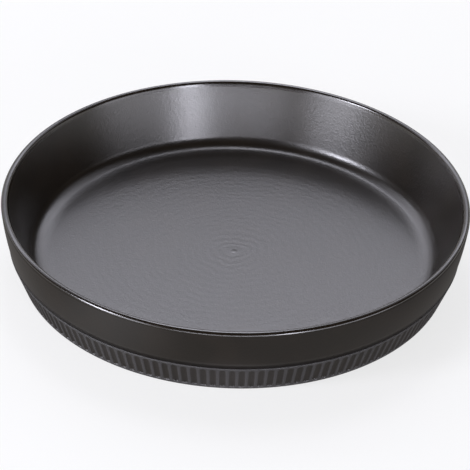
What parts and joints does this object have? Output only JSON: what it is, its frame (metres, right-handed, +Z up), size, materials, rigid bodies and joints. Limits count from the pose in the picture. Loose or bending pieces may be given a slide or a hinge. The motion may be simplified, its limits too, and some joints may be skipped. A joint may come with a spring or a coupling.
{
  "type": "baking dish",
  "caption": "Round shallow ceramic baking dish in satin black glaze, with a rounded rim and a fluted band round its foot.",
  "frame": {"origin": "centre of the flat ring that the dish rests on", "axes": "+Z up along the dish's axis, out of its open side"},
  "size_m": [0.28, 0.28, 0.046],
  "materials": {
    "glaze": "satin black glaze with a fine pebbled surface"
  },
  "bodies": {
    "root": {"dish": "glaze"}
  },
  "joints": []
}
